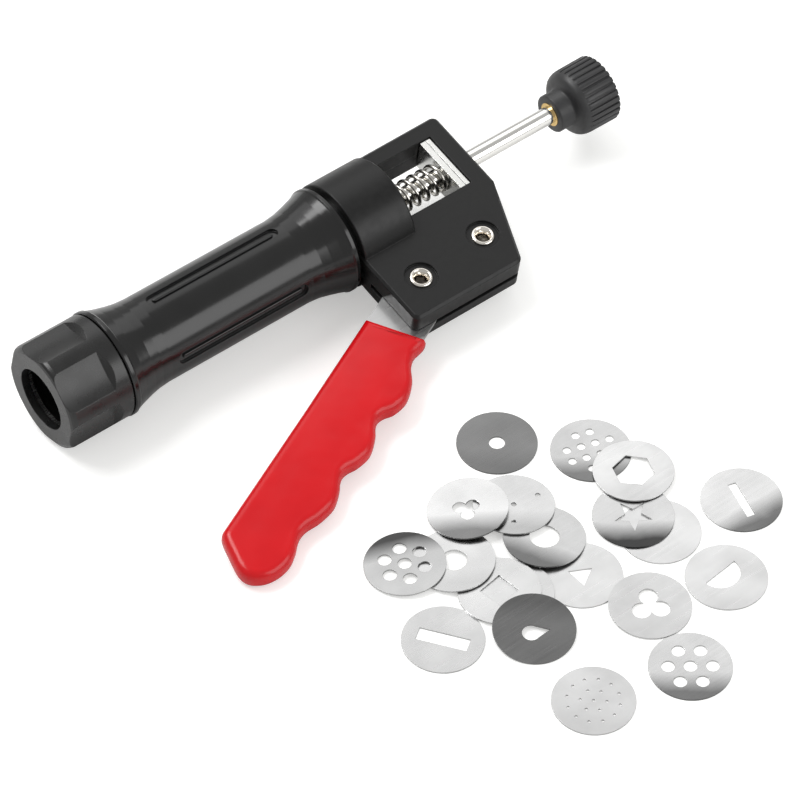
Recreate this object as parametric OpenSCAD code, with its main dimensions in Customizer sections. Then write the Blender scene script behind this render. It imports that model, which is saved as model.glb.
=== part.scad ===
// Pottery clay extruder, hand squeezed, with its loose steel dies.
// Millimetres, +Z up. The barrel axis is the X axis and the cap's front
// face lies at x = 0. The housing and lever lean on the table by the roll.

/* [Show] */
// Name of the piece to draw, or all of them

/* [Cap] */
// Outside radius of the cap
cap_r = 21.1; // [18:0.1:26]
// Length of the cap
cap_len = 27.2; // [20:0.1:40]
// Radius of the round outlet
outlet_r = 12.5; // [6:0.1:14]
// Thickness of the cap's front wall
cap_wall = 3; // [2:0.1:5]
// Radius of the rounded front edge
cap_round = 2.3; // [0.5:0.1:4]
// Number of finger flutes
flutes = 6; // [3:1:10]
// Angle of the first flute, from the top toward the handle
flute_at = -15; // [-60:1:60]
// Depth of a flute
flute_deep = 2.4; // [0.5:0.1:3]
// Radius of the cutter that makes a flute
flute_cut_r = 36; // [10:1:60]
// Where a flute starts to run out
flute_end = 20; // [10:0.1:24]

/* [Barrel] */
// Outside radius of the barrel's waist
waist_r = 17.4; // [16:0.1:22]
// Bore radius of the barrel
bore_r = 15.1; // [10:0.1:16]
// Radius of the lips at both ends
lip_r = 21.5; // [18:0.1:26]
// End of the front flare
flare_front = 47; // [35:0.5:60]
// Start of the rear flare
flare_rear = 112; // [90:0.5:120]
// Rear end of the rear lip
lip_rear = 131; // [120:0.5:140]
// Number of grip slots
slots = 4; // [0:1:8]
// Angle of the first slot, from the top toward the handle
slot_at = -7; // [-45:1:45]
// Width of a slot
slot_w = 5.4; // [2:0.1:8]
// Front end of a slot
slot_front = 50; // [48:0.5:60]
// Rear end of a slot
slot_rear = 109.3; // [90:0.1:112]
// Depth of a slot
slot_deep = 1.2; // [0.5:0.1:1.6]

/* [Housing] */
// Half of the housing's thickness
half_t = 7.75; // [6:0.05:12]
// Width of the bevel round the housing's edge
bevel = 1.1; // [0.3:0.1:2]
// Front face of the socket
socket_front = 133.5; // [130:0.1:140]
// Rear face of the socket, where the spring sits
socket_rear = 157.3; // [150:0.1:165]
// Rear wall of the window
window_rear = 189.3; // [180:0.1:195]
// Half of the window's width
window_half = 13; // [10:0.1:16]
// Depth of the lever's slot in the lower shell
recess = 2.5; // [2:0.1:4]

/* [Lever] */
// Thickness of the steel lever
lever_t = 1.9; // [1:0.1:3]
// Width of the steel lever
lever_w = 22; // [15:0.5:28]
// Thickness of the dipped grip
grip_t = 8.5; // [6:0.1:12]
// Length of the grip
grip_len = 122.8; // [100:0.1:150]
// Radius of the grip's rounded edge
grip_edge_r = 3.2; // [1:0.1:4]
// Squeeze that is drawn, from rest to full
squeeze = 0; // [0:1:25]

/* [Plunger] */
// Radius of the push rod
rod_r = 3.55; // [2.5:0.05:4.5]
// Front end of the rod
rod_front = 48; // [47:0.5:60]
// Rear end of the rod
rod_rear = 246; // [200:1:300]
// Radius of the piston
piston_r = 14.8; // [10:0.1:15]
// Radius of the knob's head
knob_r = 13.7; // [10:0.1:20]
// Length of the knob with its hub
knob_len = 24.4; // [15:0.1:40]

/* [Spring] */
// Outside radius of the return spring
spring_r = 6.2; // [5:0.1:8]
// Wire diameter of the spring
wire = 1.5; // [1:0.1:2]
// Turns of the spring
turns = 6.5; // [4:0.5:10]

/* [Dies] */
// Radius of a die
die_r = 15; // [10:0.5:20]
// Thickness of a die
die_t = 0.6; // [0.4:0.1:2]

/* [Hidden] */
fit = 0.06;
gap = 0.3;
lip_front = cap_len + gap;
// corner where the grip starts, and the way it runs
grip_at = [120.6, -38];
grip_turn = 204.6;
// outline of the grip: four finger bumps along its outer edge
grip_outline = [
    [0, 0], [50, 0.3], [grip_len - 11.2, 0.2], [grip_len - 5.9, 6.5], [grip_len - 1.2, 12.7],
    [grip_len, 16.4], [grip_len - 0.8, 19.8], [grip_len - 3.6, 23.4], [grip_len - 8.2, 26.1],
    [109, 27.3], [103.5, 26.7], [99.5, 25.4], [96, 24.7], [92, 25.2], [86.5, 27.8], [79, 29.1],
    [72.5, 28], [69, 26.2], [65.5, 25.4], [62, 26], [58.5, 28.2], [52, 29.5],
    [45, 28.2], [41, 25.9], [37.5, 25], [34, 25.9], [30.5, 28.6], [24, 29.9],
    [16.5, 28.4], [10.5, 24.6], [5.2, 23.1], [-3.1, 23]
];
// the housing rolls until the tip of the grip lies on the table
tip_reach = max([for (p = grip_outline)
    -grip_at[1] - p[0] * sin(grip_turn) - p[1] * cos(grip_turn)]);
lever_drop = (lever_t + 0.6) / 2;
arm = sqrt(pow(tip_reach - grip_t / 2, 2) + lever_drop * lever_drop);
roll = asin((lip_r - grip_t / 2) / arm) - atan(lever_drop / (tip_reach - grip_t / 2));
table = -lip_r;
// pivots of the lever and of the rocker, in the rolled plane
piv1 = [146.1, -37.5];
piv2 = [177.5, -35];
mesh_at = atan2(piv2[1] - piv1[1], piv2[0] - piv1[0]);
// gear sectors: the two pitch circles touch between the pivots
pitch_r = norm(piv2 - piv1) / 2;
teeth = 18;
tooth_step = 360 / teeth;
mod = 2 * pitch_r / teeth;
tip_r = pitch_r + mod;
root_r = pitch_r - 1.25 * mod;
rivet_r = 3;
rivet_head = 4.5;
// socket and spigot
spigot_r = 18;
neck_r = 17.5;
neck_front = cap_wall + 2.1;
spigot_rear = 149;
bore_end = 150.5;
bush_r = 5.5;
rod_hole = rod_r + fit;
stud_r = 2.5;
// grip plates and the spring between the wall and the plates
plate_front = 184.4;
front_plate_t = 2.5;
rear_plate_t = 1.9;
plate_rear = window_rear - gap;
spring_front = socket_rear + 0.5 + gap;
spring_rear = plate_front - gap;
knob_front = 239.2;

// name, x, y, lift, tilt, way it tilts, kind of hole, turn of the hole
dies = [
    ["die_round_small", 129.7, -104.4, 0, 0, 0, "round", 3],
    ["die_vermicelli", 154.7, -128.4, 0, 0, 0, "grid", -18],
    ["die_hexagon", 160, -146.3, 1.2, 2, -130, "hexagon", 12],
    ["die_club", 100.6, -123.8, 2.05, 7.5, -60, "club", 0],
    ["die_three_pins", 115.3, -132.1, 1.2, 4.5, -140, "pins", 0],
    ["die_star", 146.5, -162.4, 0.65, 0, 0, "star", 19],
    ["die_blank", 149.7, -173.7, 0, 0, 0, "blank", 0],
    ["die_slot", 182.7, -180.4, 0, 0, 0, "slot", 75],
    ["die_seven_holes", 67.2, -129.5, 0.95, 3.5, -65, "seven", 7],
    ["die_round_middle", 82, -139.2, 1.1, 4, -65, "round", 4.9],
    ["die_round_large", 114.6, -150.6, 1.1, 4, -160, "round", 5.5],
    ["die_square", 86.2, -160.1, 1.05, 1.5, -20, "square", 8],
    ["die_triangle", 114.3, -172, 0, 0, 0, "triangle", 2],
    ["die_plain", 89.5, -163.5, 0.4, 1.5, -20, "blank", 0],
    ["die_trefoil", 124.6, -198, 0.4, 1.5, 115, "trefoil", 60],
    ["die_half_round", 154.7, -204.6, 0, 0, 0, "half", -84],
    ["die_seven_wide", 118.3, -227.6, 0, 0, 0, "wide", 23],
    ["die_rectangle", 57, -164.6, 0, 0, 0, "rectangle", -55],
    ["die_teardrop", 84.9, -181.4, 1.35, 5, 75, "teardrop", -25],
    ["die_nineteen", 81.7, -218.4, 0, 0, 0, "nineteen", 10.5]
];

fixed_nodes = [
    "front_cap", "die_seal", "barrel", "barrel_seal",
    "piston", "piston_ring", "piston_nut", "push_rod",
    "knob", "knob_insert",
    "housing_upper", "housing_lower",
    "lever_plate", "lever_grip", "lever_rivet",
    "rocker_arm", "rocker_rivet",
    "grip_plate_front", "grip_plate_rear", "return_spring",
    "spring_washer", "rod_bush_front", "rod_bush_rear"
];

// ---------- helpers ----------

// turns a drawing along +Z into one along +X
module along_x() {
    rotate([0, 90, 0])
        children();
}

// turns the +Z of a drawing toward the roll of the housing
module rolled() {
    rotate([roll, 0, 0])
        children();
}

// turned part: points are [x, radius]
module turned(points, fine = 64) {
    along_x()
        rotate_extrude($fn = fine)
            polygon([for (p = points) [p[1], p[0]]]);
}

// round rod or hole along X
module bar(x0, x1, r, fine = 48) {
    translate([x0, 0, 0])
        along_x()
            cylinder(h = x1 - x0, r = r, $fn = fine);
}

// hexagon bar along X
module hex_bar(x0, x1, across) {
    translate([x0, 0, 0])
        along_x()
            cylinder(h = x1 - x0, r = across / sqrt(3), $fn = 6);
}

// flat shape between two heights of the rolled frame
module slab(z0, z1) {
    translate([0, 0, z0])
        linear_extrude(height = z1 - z0)
            children();
}

// ---------- cap and barrel ----------

module front_cap() {
    color("#26272a")
    difference() {
        turned([
            [0, outlet_r - 1],
            [0, cap_r - cap_round],
            [0.35, cap_r - 1.25],
            [1, cap_r - 0.5],
            [cap_round, cap_r],
            [cap_len - 0.5, cap_r],
            [cap_len, cap_r - 0.5],
            [cap_len, outlet_r - 1]
        ], 72);
        bar(-1, cap_len, outlet_r);
        bar(cap_wall, cap_len, die_r + 0.2);
        bar(cap_wall + 2, cap_len + 1, neck_r + fit, 64);
        for (k = [0 : flutes - 1])
            rotate([flute_at + k * 360 / flutes, 0, 0])
                translate([0, 0, cap_r - flute_deep + flute_cut_r])
                    turned([
                        [-1, 0],
                        [-1, flute_cut_r],
                        [flute_end, flute_cut_r],
                        [flute_end + 3, flute_cut_r - flute_deep - 1],
                        [flute_end + 3, 0]
                    ], 180);
    }
}

// thin washer that holds the die flat against the cap's front wall
module die_seal() {
    color("#8a8d90")
    difference() {
        bar(cap_wall + gap, neck_front - gap, die_r + 0.14);
        bar(cap_wall, neck_front, outlet_r + 0.4);
    }
}

module barrel() {
    color("#16171a")
    difference() {
        turned([
            [neck_front, bore_r],
            [neck_front, neck_r],
            [lip_front, neck_r],
            [lip_front, lip_r - 0.4],
            [lip_front + 0.4, lip_r],
            [lip_front + 1.8, lip_r],
            [lip_front + 2.4, lip_r - 0.5],
            [lip_front + 6, lip_r - 1.7],
            [lip_front + 11, lip_r - 3],
            [lip_front + 15, lip_r - 3.75],
            [flare_front, waist_r],
            [flare_rear, waist_r],
            [flare_rear + 5, lip_r - 3.6],
            [flare_rear + 9, lip_r - 2.7],
            [lip_rear - 5.5, lip_r - 1.5],
            [lip_rear - 2.4, lip_r - 0.5],
            [lip_rear - 1.8, lip_r],
            [lip_rear - 0.4, lip_r],
            [lip_rear, lip_r - 0.4],
            [lip_rear, spigot_r],
            [spigot_rear, spigot_r],
            [spigot_rear, bore_r]
        ], 72);
        for (k = [0 : slots - 1])
            rotate([slot_at + k * 360 / slots, 0, 0])
                translate([0, 0, waist_r - slot_deep])
                    slab(0, 6) {
                        translate([slot_front + slot_w / 2, -slot_w / 2])
                            square([slot_rear - slot_front - slot_w, slot_w]);
                        for (x = [slot_front + slot_w / 2, slot_rear - slot_w / 2])
                            translate([x, 0])
                                circle(r = slot_w / 2, $fn = 24);
                    }
    }
}

module barrel_seal() {
    color("#303030")
    difference() {
        bar(spigot_rear + gap, bore_end - gap, spigot_r);
        bar(spigot_rear, bore_end, bore_r + 0.25);
    }
}

// ---------- plunger ----------

module piston() {
    color("#d8d6cf")
    turned([
        [rod_front + 4, stud_r + 0.05],
        [rod_front + 4, piston_r - 1],
        [rod_front + 5, piston_r],
        [rod_front + 8, piston_r],
        [rod_front + 8, piston_r - 1.8],
        [rod_front + 11, piston_r - 1.8],
        [rod_front + 11, piston_r],
        [rod_front + 15, piston_r],
        [rod_front + 16, piston_r - 1],
        [rod_front + 16, stud_r + 0.05]
    ], 64);
}

module piston_ring() {
    color("#222222")
    turned([
        [rod_front + 8.05, piston_r - 1.75],
        [rod_front + 8.05, bore_r - 0.4],
        [rod_front + 8.4, bore_r - fit],
        [rod_front + 10.6, bore_r - fit],
        [rod_front + 10.95, bore_r - 0.4],
        [rod_front + 10.95, piston_r - 1.75]
    ], 64);
}

module piston_nut() {
    color("#b9bcc0")
    difference() {
        hex_bar(rod_front, rod_front + 3.95, 10);
        bar(rod_front - 1, rod_front + 5, stud_r + 0.05);
    }
}

module push_rod() {
    color("#c4c7cb")
    turned([
        [rod_front - 0.5, 0],
        [rod_front - 0.5, stud_r],
        [rod_front + 16, stud_r],
        [rod_front + 16, rod_r],
        [rod_rear - 1, rod_r],
        [rod_rear, rod_r - 0.7],
        [rod_rear, 0]
    ], 48);
}

module knob() {
    knob_rear = knob_front + knob_len;
    color("#1c1c1e")
    difference() {
        turned([
            [knob_front, 0],
            [knob_front, 7.4],
            [knob_front + 0.4, 7.8],
            [knob_front + 6.2, 7.8],
            [knob_front + 6.7, 8.6],
            [knob_front + 7.4, knob_r - 2.3],
            [knob_front + 8.4, knob_r - 1.1],
            [knob_front + 10, knob_r - 0.4],
            [knob_front + 12, knob_r - 0.1],
            [knob_rear - 0.5, knob_r],
            [knob_rear, knob_r - 0.5],
            [knob_rear, 0]
        ], 64);
        bar(knob_front - 1, rod_rear + 0.1, 4.9);
    }
}

module knob_insert() {
    color("#c9a24e")
    difference() {
        bar(knob_front - 0.3, rod_rear, 4.88);
        bar(knob_front - 1, rod_rear + 1, rod_r + 0.03);
    }
}

// ---------- housing ----------

// bevelled half of the flat housing, from the parting plane outward
module half_plate() {
    corners = [
        [132.4, -52.5, 2.6],
        [183.5, -52.5, 3.4],
        [197.05, -16.6, 1.6],
        [197.2, 20.3, 2.5],
        [152, 20, 1.3],
        [133.6, 19.4, 1.3],
        [132.4, -23.5, 1.3]
    ];
    inward = [[1, 1], [-0.9, 1], [-1, 0], [-1, -1], [0, -1], [1, -1], [1, 0.4]];
    hull()
        for (k = [0 : len(corners) - 1])
            translate([
                corners[k][0] + inward[k][0] * corners[k][2],
                corners[k][1] + inward[k][1] * corners[k][2],
                0
            ]) {
                cylinder(h = half_t - bevel, r = corners[k][2], $fn = 32);
                cylinder(h = half_t, r = corners[k][2] - bevel, $fn = 32);
            }
}

// space that the gears, the rocker and the lever sweep
module sweep_outline() {
    difference() {
        union() {
            translate([130, -60])
                square([60, 19.2]);
            translate([130, -60])
                square([piv1[0] - 130, 34]);
            translate(piv1)
                circle(r = 18, $fn = 72);
            translate(piv2)
                circle(r = 7, $fn = 48);
            intersection() {
                translate(piv2)
                    circle(r = 18, $fn = 72);
                translate([150, -60])
                    square([piv2[0] - 150, 36]);
            }
            intersection() {
                translate(piv2)
                    circle(r = 19.6, $fn = 72);
                translate(piv2)
                    polygon([[0, -8], [17, -8], [22, 10], [22, 30], [-4, 30], [-8, 0]]);
            }
            intersection() {
                translate(piv2)
                    circle(r = 26.8, $fn = 96);
                translate(piv2)
                    polygon([[0, 0], [16.7, 12.5], [16.7, 30], [1.6, 30]]);
            }
        }
        // keeps the socket whole, and the slanted rear wall
        translate([130, -23.2])
            square([28, 30]);
        translate([182.6, -41])
            rotate(-23.9)
                translate([2.9, 0])
                    square([20, 40]);
    }
}

module shell_half() {
    difference() {
        union() {
            half_plate();
            intersection() {
                turned([
                    [socket_front, 0],
                    [socket_front, lip_r - 0.3],
                    [socket_front + 0.3, lip_r],
                    [socket_rear - 0.7, lip_r],
                    [socket_rear, lip_r - 0.7],
                    [socket_rear, 0]
                ], 72);
                translate([100, -40, 0])
                    cube([100, 80, 40]);
            }
        }
        // barrel socket, front lead and window
        bar(130, bore_end, spigot_r + fit, 64);
        translate([socket_rear, -window_half, -1])
            cube([window_rear - socket_rear, 2 * window_half, half_t + 2]);
        // seats of the two bushes
        bar(bore_end - 1, 200, bush_r + 0.04);
        // holes and recesses of the two rivets
        for (p = [piv1, piv2])
            translate([p[0], p[1], -1]) {
                cylinder(h = half_t + 2, r = rivet_r + 0.05, $fn = 48);
                translate([0, 0, half_t - 0.1])
                    cylinder(h = 2, r = 6.5, $fn = 64);
            }
    }
}

module housing_upper() {
    color("#202124")
    rolled()
    difference() {
        shell_half();
        translate([174.3, -17.7, -1])
            cube([window_rear - 174.3, 6, 2.4]);
    }
}

module housing_lower() {
    color("#202124")
    rolled()
    difference() {
        mirror([0, 0, 1])
            shell_half();
        translate([174.3, -17.7, -3.4])
            cube([window_rear - 174.3, 6, 5]);
        slab(-recess, 1)
            sweep_outline();
    }
}

module rod_bush(x0, x1) {
    difference() {
        bar(x0, x1, bush_r);
        bar(x0 - 1, x1 + 1, rod_hole);
    }
}

module rod_bush_front() {
    color("#b08d4a")
    rolled()
        rod_bush(bore_end + 0.2, socket_rear - 0.02);
}

module rod_bush_rear() {
    color("#b08d4a")
    rolled()
        rod_bush(window_rear + 0.3, 197.1);
}

module spring_washer() {
    color("#b9bcc0")
    rolled()
    difference() {
        bar(socket_rear, socket_rear + 0.5, 7);
        bar(socket_rear - 1, socket_rear + 1, rod_hole);
    }
}

// ---------- lever, rocker and rivets ----------

// toothed sector: the teeth are centred at the listed angles
module sector(angles) {
    half_tip = mod * 0.38;
    half_pitch = mod * PI / 4 - 0.12;
    half_root = mod * 1.05;
    for (a = angles)
        rotate(a)
            polygon([
                [root_r - 1, -half_root],
                [root_r, -half_root],
                [pitch_r, -half_pitch],
                [tip_r - 0.15, -half_tip],
                [tip_r - 0.15, half_tip],
                [pitch_r, half_pitch],
                [root_r, half_root],
                [root_r - 1, half_root]
            ]);
}

// web that carries the teeth from one angle to another
module web(from, to) {
    intersection() {
        circle(r = root_r + 0.02, $fn = 72);
        polygon([
            [0, 0],
            [30 * cos(from), 30 * sin(from)],
            [30 * cos((from + to) / 2), 30 * sin((from + to) / 2)],
            [30 * cos(to), 30 * sin(to)]
        ]);
    }
}

// flat bar that narrows from one circle to another
module taper(p, rp, q, rq) {
    hull() {
        translate(p)
            circle(r = rp, $fn = 48);
        translate(q)
            circle(r = rq, $fn = 32);
    }
}

// turns the lever with its grip about the first pivot
module squeezed() {
    rolled()
        translate(piv1)
            rotate(-squeeze)
                translate(-piv1)
                    children();
}

// the strip of the lever that lies inside the grip, and its neck
module lever_strip(extra) {
    translate(grip_at)
        rotate(grip_turn) {
            translate([-23.4, 0.2 - extra])
                square([23 + extra, lever_w + 2 * extra]);
            translate([-1, 2 - extra])
                square([grip_len - 19, 18 + 2 * extra]);
            translate([grip_len - 20, 11])
                circle(r = 9 + extra, $fn = 64);
        }
}

module lever_shape() {
    translate(piv1)
        circle(r = lever_w / 2, $fn = 72);
    translate(piv1) {
        web(mesh_at - tooth_step - 8, mesh_at + 2 * tooth_step + 8);
        sector([for (k = [-1 : 2]) mesh_at + k * tooth_step]);
    }
    lever_strip(0);
}

module lever_plate() {
    color("#c9ccd0")
    squeezed()
        slab(-gap - lever_t, -gap)
            difference() {
                lever_shape();
                translate(piv1)
                    circle(r = rivet_r + fit, $fn = 48);
            }
}

module lever_grip() {
    color("#b01c16")
    squeezed()
    difference() {
        translate([0, 0, -gap - lever_t / 2])
            minkowski() {
                translate([0, 0, grip_edge_r - grip_t / 2])
                    linear_extrude(height = grip_t - 2 * grip_edge_r)
                        offset(delta = -grip_edge_r)
                            translate(grip_at)
                                rotate(grip_turn)
                                    polygon(grip_outline);
                sphere(r = grip_edge_r, $fn = 12);
            }
        slab(-gap - lever_t - 0.02, -gap + 0.02)
            lever_strip(0.02);
    }
}

// outline of the rocker at rest: a toothed hub, and a finger into the window
module rocker_shape() {
    knee = [190.6, -23.5];
    finger = [191.5, -15];
    taper(piv2, 6, knee, 1.8);
    taper(knee, 1.8, finger, 2);
    translate(piv2)
        circle(r = 8, $fn = 64);
    translate(piv2) {
        web(mesh_at + 180 - 38, mesh_at + 180 + 18);
        sector([for (k = [-1.5 : 0.5]) mesh_at + 180 + k * tooth_step]);
    }
}

module rocker_arm() {
    color("#b9bcc0")
    rolled()
        translate(piv2)
            rotate(squeeze)
                translate(-piv2)
                    slab(-gap - lever_t, -gap)
                        difference() {
                            rocker_shape();
                            translate(piv2)
                                circle(r = rivet_r + fit, $fn = 48);
                        }
}

// hollow rivet with a rolled head at both faces of the housing
module rivet(p) {
    rolled()
        translate([p[0], p[1], 0])
            difference() {
                union() {
                    cylinder(h = 2 * half_t - 1.4, r = rivet_r, center = true, $fn = 48);
                    for (s = [0, 1])
                        mirror([0, 0, s])
                            translate([0, 0, half_t - 1.08])
                                rotate_extrude($fn = 48)
                                    polygon([
                                        [0, 0],
                                        [rivet_head, 0],
                                        [rivet_head, 0.4],
                                        [rivet_head - 0.4, 0.85],
                                        [rivet_head - 1.1, 1],
                                        [0, 1]
                                    ]);
                }
                cylinder(h = 3 * half_t, r = 2.2, center = true, $fn = 48);
            }
}

module lever_rivet() {
    color("#d5d7da")
    rivet(piv1);
}

module rocker_rivet() {
    color("#d5d7da")
    rivet(piv2);
}

// ---------- grip plates and spring ----------

module grip_plate(x0, thick) {
    slide = -squeeze * 0.3824;
    translate([slide, 0, 0])
        rolled()
            difference() {
                union() {
                    translate([x0, -window_half + gap, -7])
                        cube([thick, 2 * (window_half - gap), 14]);
                    translate([x0, -17.3, -3])
                        cube([thick, 8, 4]);
                }
                bar(x0 - 1, x0 + thick + 1, rod_hole);
            }
}

module grip_plate_front() {
    color("#d0d3d6")
    grip_plate(plate_front, front_plate_t);
}

module grip_plate_rear() {
    color("#d0d3d6")
    grip_plate(plate_rear - rear_plate_t, rear_plate_t);
}

// cut of the coil square to its axis: a bow as wide as the wire is round
module coil_cut(pitch) {
    mid_r = spring_r - wire / 2;
    reach = 360 * wire / 2 / pitch;
    steps = 4;
    outer = [for (k = [-steps : steps])
        (mid_r + sqrt(max(0, 1 - pow(k / steps, 2))) * wire / 2)
        * [cos(k * reach / steps), sin(k * reach / steps)]];
    inner = [for (k = [steps - 1 : -1 : 1 - steps])
        (mid_r - sqrt(1 - pow(k / steps, 2)) * wire / 2)
        * [cos(k * reach / steps), sin(k * reach / steps)]];
    polygon(concat(outer, inner));
}

module return_spring() {
    pitch = (spring_rear - spring_front) / turns;
    color("#aeb2b7")
    translate([spring_front, 0, 0])
        along_x()
            linear_extrude(height = spring_rear - spring_front, twist = -360 * turns, slices = 12 * turns)
                coil_cut(pitch);
}

// ---------- dies ----------

// outline of the hole in a die
module hole_shape(kind, turn) {
    if (kind == "round")
        circle(r = turn, $fn = 48);
    if (kind == "grid")
        rotate(turn)
            for (i = [-1.5 : 1.5])
                for (j = [-1.5 : 1.5])
                    if (abs(i) + abs(j) < 3)
                        translate(5.6 * [i, j])
                            circle(r = 1.6, $fn = 20);
    if (kind == "hexagon")
        rotate(turn)
            circle(r = 7.9, $fn = 6);
    if (kind == "club")
        translate([-0.5, 0]) {
            circle(r = 1.8, $fn = 20);
            for (k = [0 : 2])
                rotate(turn + 120 * k)
                    translate([2.8, 0])
                        circle(r = 2.6, $fn = 28);
        }
    if (kind == "pins")
        for (p = [[0, 0], [10, -1.5], [-5.5, -7]])
            translate(p)
                circle(r = 1, $fn = 20);
    if (kind == "star")
        rotate(turn)
            polygon([for (k = [0 : 9]) (k % 2 == 0 ? 7.3 : 3.1) * [cos(36 * k), sin(36 * k)]]);
    if (kind == "slot")
        rotate(turn)
            square([16.5, 3.2], center = true);
    if (kind == "seven" || kind == "wide") {
        ring = kind == "seven" ? 7.5 : 7.9;
        hole = kind == "seven" ? 2.6 : 2.45;
        circle(r = hole, $fn = 28);
        for (k = [0 : 5])
            rotate(turn + 60 * k)
                translate([ring, 0])
                    circle(r = hole, $fn = 28);
    }
    if (kind == "square")
        rotate(turn)
            square(10, center = true);
    if (kind == "triangle")
        rotate(turn)
            circle(r = 5, $fn = 3);
    if (kind == "trefoil") {
        circle(r = 2, $fn = 20);
        for (k = [0 : 2])
            rotate(turn + 120 * k)
                translate([4, 0])
                    circle(r = 3.5, $fn = 28);
    }
    if (kind == "half")
        rotate(turn)
            translate([-3.2, 0])
                intersection() {
                    circle(r = 7.5, $fn = 48);
                    translate([0, -10])
                        square(20);
                }
    if (kind == "rectangle")
        rotate(turn)
            square([18.9, 5.4], center = true);
    if (kind == "teardrop")
        rotate(turn)
            translate([-1.5, -1.5]) {
                circle(r = 3.3, $fn = 28);
                polygon([[1.5, 2.85], [7, 0], [1.5, -2.85]]);
            }
    if (kind == "nineteen") {
        circle(r = 0.55, $fn = 16);
        for (k = [0 : 5])
            rotate(turn + 6.5 + 60 * k)
                translate([4.7, 0])
                    circle(r = 0.55, $fn = 16);
        for (k = [0 : 11])
            rotate(turn + 30 * k)
                translate([9.5, 0])
                    circle(r = 0.55, $fn = 16);
    }
}

module die(d) {
    color("#b4b8bc")
    translate([d[1], d[2], table + d[3]])
        rotate([0, -d[4], d[5]])
            rotate(-d[5])
                slab(0, die_t)
                    difference() {
                        circle(r = die_r, $fn = 64);
                        hole_shape(d[6], d[7]);
                    }
}

// ---------- what is drawn ----------

front_cap();
die_seal();
barrel();
barrel_seal();
piston();
piston_ring();
piston_nut();
push_rod();
knob();
knob_insert();
housing_upper();
housing_lower();
lever_plate();
lever_grip();
lever_rivet();
rocker_arm();
rocker_rivet();
grip_plate_front();
grip_plate_rear();
return_spring();
spring_washer();
rod_bush_front();
rod_bush_rear();
for (d = dies)
    die(d);
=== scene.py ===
"""Looks of the pottery clay extruder and its loose dies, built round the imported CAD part."""

import math

import bmesh
import bpy
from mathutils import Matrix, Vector


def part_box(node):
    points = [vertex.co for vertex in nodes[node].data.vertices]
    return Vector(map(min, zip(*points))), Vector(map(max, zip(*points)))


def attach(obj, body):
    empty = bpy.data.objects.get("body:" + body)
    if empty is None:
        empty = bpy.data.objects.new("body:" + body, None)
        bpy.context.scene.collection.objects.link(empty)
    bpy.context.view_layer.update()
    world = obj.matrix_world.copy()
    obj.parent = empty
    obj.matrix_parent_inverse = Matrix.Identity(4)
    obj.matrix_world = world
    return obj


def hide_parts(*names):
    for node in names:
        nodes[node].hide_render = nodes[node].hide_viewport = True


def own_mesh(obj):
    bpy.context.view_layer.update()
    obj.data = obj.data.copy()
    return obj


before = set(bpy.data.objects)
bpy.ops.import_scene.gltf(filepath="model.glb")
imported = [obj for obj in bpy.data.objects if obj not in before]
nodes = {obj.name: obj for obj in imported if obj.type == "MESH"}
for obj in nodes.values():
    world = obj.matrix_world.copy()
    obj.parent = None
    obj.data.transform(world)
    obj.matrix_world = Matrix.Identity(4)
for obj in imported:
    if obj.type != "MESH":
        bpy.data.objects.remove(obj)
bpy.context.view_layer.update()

MM = 0.001
TABLE = -21.5 * MM
ROLL = math.radians(8.757)
GRIP_AT = (120.6, -38.0)
GRIP_LEN = 122.8
GRIP_TURN = math.radians(204.6)
SPRING_FRONT, SPRING_REAR = 158.1, 184.1
SPRING_R, WIRE, TURNS = 5.45, 0.75, 6.5
KNOB_FRONT, KNOB_LEN, KNOB_R = 239.2, 24.4, 13.7
HALF_T = 7.75
RIB_COUNT = 30
GRIP_DROP = 1.25
PAPER = 4.0
RIVETS = {"lever_rivet": (146.1, -37.5), "rocker_rivet": (177.5, -35.0)}
WAIST_R, SLOT_DEEP, SLOT_FRONT, SLOT_REAR = 17.4, 1.2, 50.0, 109.3
SLOTS, SLOT_AT = 4, math.radians(-7)

# ---------------------------------------------------------------- materials


def new_material(name):
    """An empty material with one Principled shader, and its node tree."""
    mat = bpy.data.materials.new(name)
    mat.use_nodes = True
    tree = mat.node_tree
    tree.nodes.clear()
    out = tree.nodes.new("ShaderNodeOutputMaterial")
    shader = tree.nodes.new("ShaderNodeBsdfPrincipled")
    tree.links.new(shader.outputs[0], out.inputs[0])
    return mat, tree, shader


def noise(tree, scale, detail=4.0, stretch=(1, 1, 1), rough=0.5):
    """A noise texture on object coordinates, in units of the object."""
    coord = tree.nodes.new("ShaderNodeTexCoord")
    place = tree.nodes.new("ShaderNodeMapping")
    place.inputs["Scale"].default_value = stretch
    tex = tree.nodes.new("ShaderNodeTexNoise")
    tex.inputs["Scale"].default_value = scale
    tex.inputs["Detail"].default_value = detail
    tex.inputs["Roughness"].default_value = rough
    tree.links.new(coord.outputs["Object"], place.inputs[0])
    tree.links.new(place.outputs[0], tex.inputs["Vector"])
    return tex


def ramp(tree, source, low, high, a=0.3, b=0.7):
    """Maps a value onto two greys or colours."""
    node = tree.nodes.new("ShaderNodeValToRGB")
    node.color_ramp.elements[0].position = a
    node.color_ramp.elements[1].position = b
    node.color_ramp.elements[0].color = low if len(low) == 4 else (*low, 1)
    node.color_ramp.elements[1].color = high if len(high) == 4 else (*high, 1)
    tree.links.new(source, node.inputs[0])
    return node


def bump(tree, shader, source, strength, distance, edge=0.0):
    """Bump from a height, on normals that are rounded at sharp edges."""
    node = tree.nodes.new("ShaderNodeBump")
    node.inputs["Strength"].default_value = strength
    node.inputs["Distance"].default_value = distance
    tree.links.new(source, node.inputs["Height"])
    if edge:
        soft = tree.nodes.new("ShaderNodeBevel")
        soft.samples = 6
        soft.inputs["Radius"].default_value = edge
        tree.links.new(soft.outputs[0], node.inputs["Normal"])
    tree.links.new(node.outputs[0], shader.inputs["Normal"])


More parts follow.
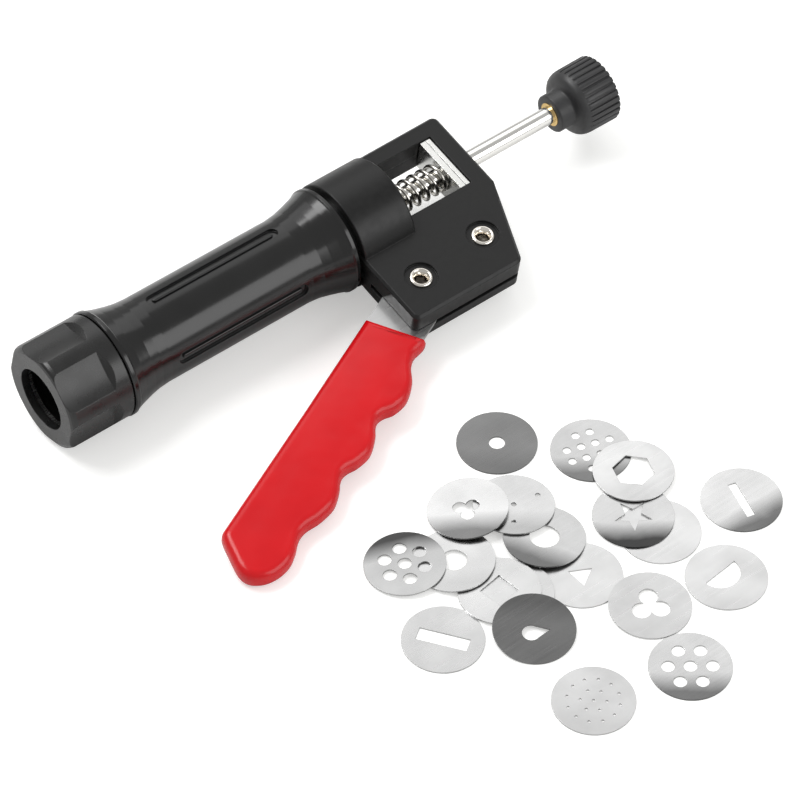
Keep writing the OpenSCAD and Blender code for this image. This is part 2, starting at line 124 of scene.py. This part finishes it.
def surface(name, color, rough, metal=0.0, grain=(300.0, 0.05, 0.0001), wear=0.1,
            stretch=(1, 1, 1), edge=0.0, spec=0.5):
    """A finish with a little grain in its height, its roughness and its colour."""
    mat, tree, shader = new_material(name)
    tex = noise(tree, grain[0], stretch=stretch)
    lo = [c * (1 - wear) for c in color]
    hi = [min(1.0, c * (1 + wear)) for c in color]
    tint = ramp(tree, tex.outputs[0], lo, hi)
    tree.links.new(tint.outputs[0], shader.inputs["Base Color"])
    gloss = ramp(tree, tex.outputs[0], [max(0.02, rough * 0.85)] * 3, [min(1, rough * 1.15)] * 3)
    tree.links.new(gloss.outputs[0], shader.inputs["Roughness"])
    shader.inputs["Metallic"].default_value = metal
    shader.inputs["Specular IOR Level"].default_value = spec
    bump(tree, shader, tex.outputs[0], grain[1], grain[2], edge)
    return mat


BARREL = surface("barrel_enamel", (0.008, 0.008, 0.008), 0.17, grain=(90, 0.02, 0.0002), edge=0.0003)
CAP = surface("cap_enamel", (0.012, 0.012, 0.012), 0.28, grain=(140, 0.03, 0.0002), edge=0.0004)
HOUSING = surface("housing_enamel", (0.009, 0.009, 0.009), 0.36, grain=(420, 0.05, 0.0002),
                  edge=0.0005, spec=0.3)
KNOB = surface("knob_moulding", (0.024, 0.024, 0.025), 0.42, grain=(500, 0.05, 0.0002))
RUBBER = surface("seal_rubber", (0.02, 0.02, 0.02), 0.6)
PISTON = surface("piston_acetal", (0.66, 0.65, 0.60), 0.35)
STEEL = surface("plain_steel", (0.60, 0.60, 0.60), 0.28, metal=1.0,
                grain=(300, 0.03, 0.0001), stretch=(1, 8, 8))
ROD = surface("rod_steel", (0.88, 0.87, 0.84), 0.15, metal=1.0, grain=(500, 0.01, 0.0001), wear=0.03,
              stretch=(0.05, 4, 4))
LEVER = surface("lever_steel", (0.60, 0.60, 0.60), 0.3, metal=1.0, grain=(260, 0.01, 0.0001), wear=0.04,
                stretch=(0.3, 3, 3))
PLATE = surface("plate_steel", (0.74, 0.74, 0.72), 0.25, metal=1.0, grain=(400, 0.02, 0.0001), wear=0.05,
                edge=0.0003)
SPRING = surface("spring_steel", (0.64, 0.62, 0.58), 0.2, metal=1.0, wear=0.05)
RIVET = surface("rivet_nickel", (0.86, 0.82, 0.76), 0.14, metal=1.0, grain=(200, 0.02, 0.0001), edge=0.0003)
BRASS = surface("insert_brass", (0.72, 0.50, 0.20), 0.22, metal=1.0)
BUSH = surface("bush_bronze", (0.42, 0.30, 0.16), 0.4, metal=1.0)


def grip_material():
    """Glossy dipped vinyl: red with slow waves in its skin."""
    mat, tree, shader = new_material("grip_vinyl")
    slow = noise(tree, 55.0, detail=2.0)
    tint = ramp(tree, slow.outputs[0], (0.56, 0.004, 0.008), (0.62, 0.006, 0.010))
    tree.links.new(tint.outputs[0], shader.inputs["Base Color"])
    shader.inputs["Roughness"].default_value = 0.24
    shader.inputs["Specular IOR Level"].default_value = 0.35
    shader.inputs["Subsurface Weight"].default_value = 0.05
    shader.inputs["Subsurface Radius"].default_value = (0.004, 0.001, 0.001)
    bump(tree, shader, slow.outputs[0], 0.25, 0.002)
    return mat


GRIP = grip_material()


def die_material(name, centre, tone_and_painted_reflection, rough, turn, painted_reflection_side, painted_reflection_depth):
    """Rolled sheet steel: fine lines one way, a base grey per die set by its painted reflection, and a
    painted reflection that grows darker toward one side of the disc.
    """
    mat, tree, shader = new_material(name)
    coord = tree.nodes.new("ShaderNodeTexCoord")
    place = tree.nodes.new("ShaderNodeMapping")
    place.inputs["Rotation"].default_value = (0, 0, turn)
    place.inputs["Scale"].default_value = (18, 900, 900)
    lines = tree.nodes.new("ShaderNodeTexNoise")
    lines.inputs["Scale"].default_value = 1.0
    lines.inputs["Detail"].default_value = 3.0
    tree.links.new(coord.outputs["Object"], place.inputs[0])
    tree.links.new(place.outputs[0], lines.inputs["Vector"])
    cloud = noise(tree, 60.0, detail=3.0)
    # painted reflection: each die's base grey is set lighter or darker for how it reflects, and the cloud
    # adds random mottle
    tint = ramp(tree, cloud.outputs[0], [tone_and_painted_reflection * 0.93] * 3, [min(1, tone_and_painted_reflection * 1.07)] * 3, 0.35, 0.65)
    # distance across the disc toward the side where the painted reflection darkens, from 0 at the light edge
    # to 1 at the darkest one
    across = tree.nodes.new("ShaderNodeVectorMath")
    across.operation = "DOT_PRODUCT"
    way = Vector((math.cos(painted_reflection_side), math.sin(painted_reflection_side), 0)) / (2 * DIE_R * MM)
    across.inputs[1].default_value = way
    tree.links.new(coord.outputs["Object"], across.inputs[0])
    shift = tree.nodes.new("ShaderNodeMath")
    shift.operation = "SUBTRACT"
    shift.inputs[1].default_value = way.dot(centre) - 0.5
    tree.links.new(across.outputs["Value"], shift.inputs[0])
    waver = tree.nodes.new("ShaderNodeMath")
    waver.operation = "MULTIPLY_ADD"
    waver.inputs[1].default_value = 0.25
    tree.links.new(cloud.outputs[0], waver.inputs[0])
    tree.links.new(shift.outputs[0], waver.inputs[2])
    # painted reflection: the grey is multiplied darker toward one side of the disc, standing in for the
    # falloff of its reflection
    shade = ramp(tree, waver.outputs[0], [1] * 3, [painted_reflection_depth] * 3, 0.72, 1.02)
    mix = tree.nodes.new("ShaderNodeMix")
    mix.data_type = "RGBA"
    mix.blend_type = "MULTIPLY"
    mix.inputs["Factor"].default_value = 1.0
    tree.links.new(tint.outputs[0], mix.inputs["A"])
    tree.links.new(shade.outputs[0], mix.inputs["B"])
    tree.links.new(mix.outputs["Result"], shader.inputs["Base Color"])
    gloss = ramp(tree, lines.outputs[0], [rough * 0.85] * 3, [rough * 1.2] * 3)
    tree.links.new(gloss.outputs[0], shader.inputs["Roughness"])
    shader.inputs["Metallic"].default_value = 1.0
    bump(tree, shader, lines.outputs[0], 0.015, 0.0002, 0.00012)
    return mat


DIE_R = 15.0
NEAR, FAR = math.radians(-128), math.radians(52)
# base grey with painted reflection, roughness, direction of the sheet's lines, side toward which the painted
# reflection darkens and how far, as each die shows
DIE_LOOKS = {
    "die_round_small": (0.20, 0.25, 0.3, NEAR, 0.8),
    "die_vermicelli": (0.52, 0.22, 1.1, NEAR, 0.35),
    "die_hexagon": (0.66, 0.3, 0.2, NEAR, 0.9),
    "die_club": (0.64, 0.24, 0.9, NEAR, 0.3),
    "die_three_pins": (0.60, 0.25, 0.4, NEAR, 0.7),
    "die_star": (0.56, 0.22, 2.0, NEAR, 0.1),
    "die_blank": (0.66, 0.3, 0.5, NEAR, 0.95),
    "die_slot": (0.64, 0.25, 1.4, NEAR + 0.6, 0.25),
    "die_seven_holes": (0.46, 0.2, 0.8, FAR + 0.2, 0.15),
    "die_round_middle": (0.60, 0.25, 1.0, NEAR, 0.8),
    "die_round_large": (0.52, 0.24, 0.1, NEAR - 0.4, 0.3),
    "die_square": (0.62, 0.28, 0.6, NEAR, 0.95),
    "die_triangle": (0.66, 0.3, 0.9, NEAR, 0.95),
    "die_plain": (0.60, 0.3, 0.2, NEAR, 0.95),
    "die_trefoil": (0.60, 0.3, 1.7, NEAR, 0.95),
    "die_half_round": (0.64, 0.3, 0.4, NEAR, 0.95),
    "die_seven_wide": (0.56, 0.22, 1.2, NEAR, 0.3),
    "die_rectangle": (0.58, 0.28, 0.5, NEAR, 0.95),
    "die_teardrop": (0.22, 0.24, 1.9, FAR, 0.7),
    "die_nineteen": (0.60, 0.35, 0.7, NEAR, 0.95),
}

NODE_LOOKS = {
    "front_cap": CAP,
    "die_seal": STEEL,
    "barrel": BARREL,
    "barrel_seal": RUBBER,
    "piston": PISTON,
    "piston_ring": RUBBER,
    "piston_nut": STEEL,
    "push_rod": ROD,
    "knob_insert": BRASS,
    "housing_upper": HOUSING,
    "housing_lower": HOUSING,
    "lever_plate": LEVER,
    "rocker_arm": STEEL,
    "grip_plate_front": PLATE,
    "grip_plate_rear": PLATE,
    "spring_washer": STEEL,
    "rod_bush_front": BUSH,
    "rod_bush_rear": BUSH,
}


def smooth(obj, angle):
    """Smooth shading with sharp edges above the angle."""
    mesh = obj.data
    mesh.polygons.foreach_set("use_smooth", [True] * len(mesh.polygons))
    mesh.set_sharp_from_angle(angle=math.radians(angle))


def paint(obj, mat):
    obj.data.materials.clear()
    obj.data.materials.append(mat)


for name, mat in NODE_LOOKS.items():
    paint(nodes[name], mat)
    smooth(nodes[name], 32)
for name, look in DIE_LOOKS.items():
    low, high = (Vector(corner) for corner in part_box(name))
    paint(nodes[name], die_material("sheet_" + name, (low + high) / 2, *look))
    smooth(nodes[name], 32)

# ---------------------------------------------------------------- helpers


def rolled(x, y, z=0.0):
    """A point of the leaning housing frame, in mm, as a place in the row frame, in metres."""
    c, s = math.cos(ROLL), math.sin(ROLL)
    return Vector((x, y * c - z * s, y * s + z * c)) * MM


def add_mesh(name, verts, faces):
    mesh = bpy.data.meshes.new(name)
    mesh.from_pydata(verts, [], faces)
    mesh.validate()
    obj = bpy.data.objects.new(name, mesh)
    bpy.context.scene.collection.objects.link(obj)
    return obj


def lathe(name, profile, segments=96, loop=False):
    """A turned piece about the X axis from [x, radius] points in mm, closed on the axis or as a loop."""
    verts, faces = [], []
    for x, r in profile:
        for k in range(segments):
            a = 2 * math.pi * k / segments
            verts.append((x * MM, -math.sin(a) * r * MM, math.cos(a) * r * MM))
    rows = len(profile)
    for i in range(rows - 1):
        for k in range(segments):
            n = (k + 1) % segments
            faces.append((i * segments + k, i * segments + n, (i + 1) * segments + n, (i + 1) * segments + k))
    if loop:
        for k in range(segments):
            n = (k + 1) % segments
            faces.append(((rows - 1) * segments + k, (rows - 1) * segments + n, n, k))
    else:
        faces.append(tuple(range(segments)))
        faces.append(tuple(reversed(range((rows - 1) * segments, rows * segments))))
    obj = add_mesh(name, verts, faces)
    fix_normals(obj)
    return obj


def fix_normals(obj):
    work = bmesh.new()
    work.from_mesh(obj.data)
    bmesh.ops.remove_doubles(work, verts=work.verts, dist=1e-7)
    bmesh.ops.recalc_face_normals(work, faces=work.faces)
    work.to_mesh(obj.data)
    work.free()


def baked(obj, name):
    """The object with its modifiers applied, as a plain mesh."""
    graph = bpy.context.evaluated_depsgraph_get()
    mesh = bpy.data.meshes.new_from_object(obj.evaluated_get(graph))
    obj.modifiers.clear()
    obj.data = mesh
    obj.name = name
    mesh.name = name
    return obj


def ring_of(seed, count, angle, mat):
    """Repeats the seed piece about the X axis with Geometry Nodes, and returns it as a mesh."""
    tree = bpy.data.node_groups.new("ring_" + seed.name, "GeometryNodeTree")
    face = tree.interface
    face.new_socket("Geometry", in_out="INPUT", socket_type="NodeSocketGeometry")
    s_count = face.new_socket("Count", in_out="INPUT", socket_type="NodeSocketInt")
    s_angle = face.new_socket("Start angle", in_out="INPUT", socket_type="NodeSocketFloat")
    s_mat = face.new_socket("Material", in_out="INPUT", socket_type="NodeSocketMaterial")
    face.new_socket("Geometry", in_out="OUTPUT", socket_type="NodeSocketGeometry")
    make, link = tree.nodes.new, tree.links.new
    given, result = make("NodeGroupInput"), make("NodeGroupOutput")
    points = make("GeometryNodePoints")
    index = make("GeometryNodeInputIndex")
    step = make("ShaderNodeMath")
    step.operation = "DIVIDE"
    step.inputs[0].default_value = 2 * math.pi
    turn = make("ShaderNodeMath")
    turn.operation = "MULTIPLY_ADD"
    euler = make("ShaderNodeCombineXYZ")
    place = make("GeometryNodeInstanceOnPoints")
    real = make("GeometryNodeRealizeInstances")
    dye = make("GeometryNodeSetMaterial")
    link(given.outputs["Count"], points.inputs["Count"])
    link(given.outputs["Count"], step.inputs[1])
    link(index.outputs[0], turn.inputs[0])
    link(step.outputs[0], turn.inputs[1])
    link(given.outputs["Start angle"], turn.inputs[2])
    link(turn.outputs[0], euler.inputs[0])
    link(points.outputs[0], place.inputs["Points"])
    link(given.outputs["Geometry"], place.inputs["Instance"])
    link(euler.outputs[0], place.inputs["Rotation"])
    link(place.outputs[0], real.inputs[0])
    link(real.outputs[0], dye.inputs["Geometry"])
    link(given.outputs["Material"], dye.inputs["Material"])
    link(dye.outputs[0], result.inputs[0])
    mod = seed.modifiers.new("ring", "NODES")
    mod.node_group = tree
    mod[s_count.identifier] = count
    mod[s_angle.identifier] = angle
    mod[s_mat.identifier] = mat
    return baked(seed, seed.name)


def join(name, parts):
    """Joins pieces into the first one."""
    bpy.ops.object.select_all(action="DESELECT")
    for part in parts:
        part.select_set(True)
    bpy.context.view_layer.objects.active = parts[0]
    bpy.ops.object.join()
    parts[0].name = name
    return parts[0]


# ---------------------------------------------------------------- knob

GROOVE = 0.75
knob_profile = [
    (0, 4.9), (0, 7.3), (0.15, 7.62), (0.5, 7.8), (6.0, 7.8), (6.35, 8.0), (6.6, 8.6), (6.85, 9.9),
    (7.2, 11.1), (7.8, 12.0), (8.4, 12.6), (9.2, 13.05), (10.0, 13.3), (10.12, KNOB_R - GROOVE),
    (KNOB_LEN - 0.45, KNOB_R - GROOVE),
    (KNOB_LEN - 0.15, KNOB_R - GROOVE - 0.15), (KNOB_LEN, KNOB_R - GROOVE - 0.5), (KNOB_LEN, 9.8),
    (KNOB_LEN - 0.3, 9.2), (KNOB_LEN - 0.3, 0.4),
]
knob = lathe("knob_shape", [(KNOB_FRONT + x, r) for x, r in knob_profile])


def knob_rib():
    """One flat-topped rib that runs along the head of the knob."""
    stations = [
        (9.7, 13.1, 0.0), (10.0, 13.2, 0.2), (10.3, 13.4, 0.9), (12.0, KNOB_R - 0.1, 1.0),
        (KNOB_LEN - 0.6, KNOB_R, 1.0), (KNOB_LEN - 0.2, KNOB_R - 0.15, 0.8), (KNOB_LEN, KNOB_R - 0.55, 0.3),
    ]
    section = [(-1.0, -1.0), (-0.95, -0.3), (-0.82, -0.08), (-0.55, 0.0), (0.55, 0.0), (0.82, -0.08),
               (0.95, -0.3), (1.0, -1.0)]
    count = len(section)
    verts, faces = [], []
    for x, top, full in stations:
        for y, z in section:
            drop = z * (0.4 + 0.6 * full)
            verts.append(((KNOB_FRONT + x) * MM, y * MM, (top + drop - y * y / 2 / KNOB_R) * MM))
    for i in range(len(stations) - 1):
        for k in range(count - 1):
            a = i * count + k
            faces.append((a, a + 1, a + 1 + count, a + count))
    faces.append(tuple(range(count)))
    faces.append(tuple(reversed(range(len(verts) - count, len(verts)))))
    obj = add_mesh("knob_ribs", verts, faces)
    fix_normals(obj)
    return obj


ribs = ring_of(knob_rib(), RIB_COUNT, 0.0, KNOB)
paint(knob, KNOB)
knob = join("knob_shape", [knob, ribs])
paint(knob, KNOB)
smooth(knob, 50)
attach(knob, "plunger")
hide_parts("knob")

# ---------------------------------------------------------------- grip

GRIP_EDGE = [
    (-3.1, 23.0), (5.2, 23.1), (10.5, 24.6), (16.5, 28.2), (24.0, 29.9), (30.5, 28.4), (34.2, 25.9),
    (37.5, 25.0), (41.0, 25.9), (45.2, 28.0), (52.0, 29.5), (58.5, 28.0), (62.2, 26.1), (65.5, 25.4),
    (69.0, 26.2), (72.6, 27.8), (79.0, 29.1), (86.5, 27.6), (92.0, 25.3), (96.0, 24.7), (99.6, 25.3),
    (103.6, 26.6), (109.0, 27.3), (GRIP_LEN - 8.2, 26.1), (GRIP_LEN - 3.6, 23.4), (GRIP_LEN - 0.8, 19.8),
    (GRIP_LEN, 16.4), (GRIP_LEN - 1.2, 12.7), (GRIP_LEN - 5.9, 6.5), (GRIP_LEN - 10.9, 0.8),
    (GRIP_LEN - 15.0, 0.2), (50.0, 0.3), (0.4, 0.0),
]


def spline_points(points, steps):
    """Catmull-Rom curve through the points, closed, with hard turns kept where they are sharp."""
    result = []
    n = len(points)
    for i in range(n):
        p0, p1, p2, p3 = (Vector(points[(i + k) % n]) for k in (-1, 0, 1, 2))
        flat = (p2 - p1).length > 20
        for k in range(1 if flat else steps):
            t = k / steps
            if flat:
                result.append(p1)
            else:
                m1 = (p2 - p0) * 0.5
                m2 = (p3 - p1) * 0.5
                span = (p2 - p1).length
                m1 = m1.normalized() * min(m1.length, span)
                m2 = m2.normalized() * min(m2.length, span)
                h = (2 * t**3 - 3 * t**2 + 1, t**3 - 2 * t**2 + t, -2 * t**3 + 3 * t**2, t**3 - t**2)
                result.append(p1 * h[0] + m1 * h[1] + p2 * h[2] + m2 * h[3])
    return result


def grip_shape(half=4.25, edge=3.4):
    """Outline with a thick rounded edge, as a dipped skin has."""
    curve = bpy.data.curves.new("grip_curve", "CURVE")
    curve.dimensions = "2D"
    curve.fill_mode = "BOTH"
    spline = curve.splines.new("POLY")
    outline = spline_points(GRIP_EDGE, 5)
    spline.points.add(len(outline) - 1)
    for k, p in enumerate(outline):
        spline.points[k].co = (p.x * MM, p.y * MM, 0, 1)
    spline.use_cyclic_u = True
    curve.offset = -edge * MM
    curve.extrude = (half - edge) * MM
    curve.bevel_depth = edge * MM
    curve.bevel_resolution = 6
    obj = bpy.data.objects.new("grip_shape", curve)
    bpy.context.scene.collection.objects.link(obj)
    graph = bpy.context.evaluated_depsgraph_get()
    mesh = bpy.data.meshes.new_from_object(obj.evaluated_get(graph))
    bpy.data.objects.remove(obj)
    u = Vector((math.cos(GRIP_TURN), math.sin(GRIP_TURN)))
    v = Vector((-math.sin(GRIP_TURN), math.cos(GRIP_TURN)))
    for vert in mesh.vertices:
        s, t, z = vert.co.x / MM, vert.co.y / MM, vert.co.z / MM
        x = GRIP_AT[0] + s * u.x + t * v.x
        y = GRIP_AT[1] + s * u.y + t * v.y
        vert.co = rolled(x, y, z - GRIP_DROP)
    obj = bpy.data.objects.new("grip_shape", mesh)
    bpy.context.scene.collection.objects.link(obj)
    fix_normals(obj)
    return obj


grip = grip_shape()
paint(grip, GRIP)
smooth(grip, 60)
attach(grip, "lever")
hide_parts("lever_grip")

# ---------------------------------------------------------------- rivets and the ridges in the barrel's slots


def rivet_shape(name, at):
    """A hollow rivet: a rolled head on both sides, and a mouth that narrows into its hole."""
    head = HALF_T - 1.08
    half = [(0, 3.0), (head, 3.0), (head, 4.4), (head + 0.1, 4.5), (head + 0.4, 4.5), (head + 0.75, 4.25),
            (head + 0.95, 3.9), (head + 1.0, 3.6), (head + 0.93, 3.35), (head + 0.6, 3.1), (head - 0.4, 2.5),
            (head - 1.0, 2.2), (0, 2.2)]
    profile = half + [(-x, r) for x, r in reversed(half[1:-1])]
    obj = lathe(name, profile, segments=64, loop=True)
    for vert in obj.data.vertices:
        x, y, z = vert.co / MM
        vert.co = rolled(at[0] + y, at[1] + z, x)
    return obj


for node, at in RIVETS.items():
    rivet = rivet_shape(node + "_shape", at)
    paint(rivet, RIVET)
    smooth(rivet, 50)
    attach(rivet, "base")
    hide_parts(node)


def slot_ridge(half=1.0, high=0.85):
    """The low rounded ridge that runs along the floor of a slot."""
    floor = WAIST_R - SLOT_DEEP
    front, rear = SLOT_FRONT + 2.2, SLOT_REAR - 2.2
    rings = [(1.0, -0.1), (1.0, high * 0.5), (0.85, high * 0.85), (0.55, high)]
    verts, faces = [], []
    steps = 12
    for share, z in rings:
        r = half * share
        for end, start in ((front + half, math.pi / 2), (rear - half, -math.pi / 2)):
            for k in range(steps + 1):
                a = start + math.pi * k / steps
                verts.append(((end + math.cos(a) * r) * MM, math.sin(a) * r * MM, (floor + z) * MM))
    count = 2 * (steps + 1)
    for i in range(len(rings) - 1):
        for k in range(count):
            n = (k + 1) % count
            faces.append((i * count + k, i * count + n, (i + 1) * count + n, (i + 1) * count + k))
    faces.append(tuple(range(count)))
    faces.append(tuple(reversed(range(len(verts) - count, len(verts)))))
    obj = add_mesh("slot_ridges", verts, faces)
    fix_normals(obj)
    return obj


ridges = ring_of(slot_ridge(), SLOTS, SLOT_AT, BARREL)
smooth(ridges, 50)
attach(ridges, "barrel_turn")

# ---------------------------------------------------------------- spring


def coil(name, start, end, radius, wire, turns, around=20, dead=0.75):
    """A wire coil along X with closed end turns."""
    verts, faces = [], []
    steps = int(turns * 28)
    length = end - start - 2 * wire
    for i in range(steps + 1):
        t = i / steps
        a = 2 * math.pi * turns * t
        d = dead / turns
        rise = min(1, max(0, (t - d * 0.5) / (1 - d)))
        c = Vector((start + wire + length * rise, -math.sin(a) * radius, math.cos(a) * radius))
        out = Vector((0, -math.sin(a), math.cos(a)))
        for k in range(around):
            b = 2 * math.pi * k / around
            p = c + out * math.cos(b) * wire + Vector((1, 0, 0)) * math.sin(b) * wire
            verts.append(tuple(p * MM))
    for i in range(steps):
        for k in range(around):
            n = (k + 1) % around
            faces.append((i * around + k, i * around + n, (i + 1) * around + n, (i + 1) * around + k))
    faces.append(tuple(range(around)))
    faces.append(tuple(reversed(range(steps * around, (steps + 1) * around))))
    obj = add_mesh(name, verts, faces)
    fix_normals(obj)
    return obj


spring = coil("spring_coil", SPRING_FRONT, SPRING_REAR, SPRING_R, WIRE, TURNS)
paint(spring, SPRING)
smooth(spring, 60)
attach(spring, "base")
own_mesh(spring)
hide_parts("return_spring")

# ---------------------------------------------------------------- stage and light


def floor_material():
    """White paper: the camera sees it a little brighter, so that it reaches the picture's white."""
    mat, tree, shader = new_material("paper_floor")
    shader.inputs["Base Color"].default_value = (0.80, 0.80, 0.795, 1)
    shader.inputs["Roughness"].default_value = 0.6
    shader.inputs["Specular IOR Level"].default_value = 0.1
    path = tree.nodes.new("ShaderNodeLightPath")
    lift = tree.nodes.new("ShaderNodeMath")
    lift.operation = "MULTIPLY"
    lift.inputs[1].default_value = 0.42
    tree.links.new(path.outputs["Is Camera Ray"], lift.inputs[0])
    tree.links.new(lift.outputs[0], shader.inputs["Emission Strength"])
    shader.inputs["Emission Color"].default_value = (1, 1, 0.985, 1)
    return mat


corners = [(-PAPER, -PAPER, TABLE), (PAPER, -PAPER, TABLE), (PAPER, PAPER, TABLE), (-PAPER, PAPER, TABLE)]
floor = add_mesh("floor", corners, [(0, 1, 2, 3)])
floor.data.materials.append(floor_material())

AZIMUTH, ELEVATION = math.radians(-37.9), math.radians(48.5)
TARGET = Vector((103.07, -80.61, 0)) * MM
DISTANCE = 1.640
side = Vector((math.cos(AZIMUTH), math.sin(AZIMUTH), 0))
level = Vector((-math.sin(AZIMUTH), math.cos(AZIMUTH), 0))
forward = level * math.cos(ELEVATION) - Vector((0, 0, math.sin(ELEVATION)))

camera_data = bpy.data.cameras.new("camera")
camera_data.sensor_width = 36
camera_data.lens = 202.5
camera_data.clip_start = 0.05
camera_data.clip_end = 20
camera = bpy.data.objects.new("camera", camera_data)
bpy.context.scene.collection.objects.link(camera)
camera.location = TARGET - forward * DISTANCE
camera.rotation_mode = "QUATERNION"
camera.rotation_quaternion = forward.to_track_quat("-Z", "Y")
bpy.context.scene.camera = camera


def softbox(name, right, back, up, size, power):
    """An area light placed by the camera's right, its forward level and the height, in metres."""
    data = bpy.data.lights.new(name, "AREA")
    data.shape = "RECTANGLE"
    data.size, data.size_y = size
    data.energy = power
    light = bpy.data.objects.new(name, data)
    bpy.context.scene.collection.objects.link(light)
    centre = Vector((0.11, -0.08, 0))
    light.location = centre + side * right + level * back + Vector((0, 0, up))
    light.rotation_mode = "QUATERNION"
    light.rotation_quaternion = (centre - light.location).to_track_quat("-Z", "Y")
    return light


softbox("key", -0.75, 0.35, 1.2, (0.9, 0.7), 13.0)
softbox("side", 0.85, -0.4, 0.5, (0.9, 0.7), 5.0)
softbox("back", 0.0, 1.1, 1.05, (1.8, 0.9), 4.5)

world = bpy.data.worlds.new("studio")
bpy.context.scene.world = world
world.use_nodes = True
sky = world.node_tree
sky.nodes.clear()
sky_out = sky.nodes.new("ShaderNodeOutputWorld")
plain = sky.nodes.new("ShaderNodeBackground")
plain.inputs[0].default_value = (1.0, 1.0, 0.99, 1)
plain.inputs[1].default_value = 0.5
sky.links.new(plain.outputs[0], sky_out.inputs[0])

scene = bpy.context.scene
scene.view_settings.view_transform = "Standard"
scene.view_settings.look = "None"
scene.view_settings.exposure = 0.0
scene.view_settings.gamma = 1.0
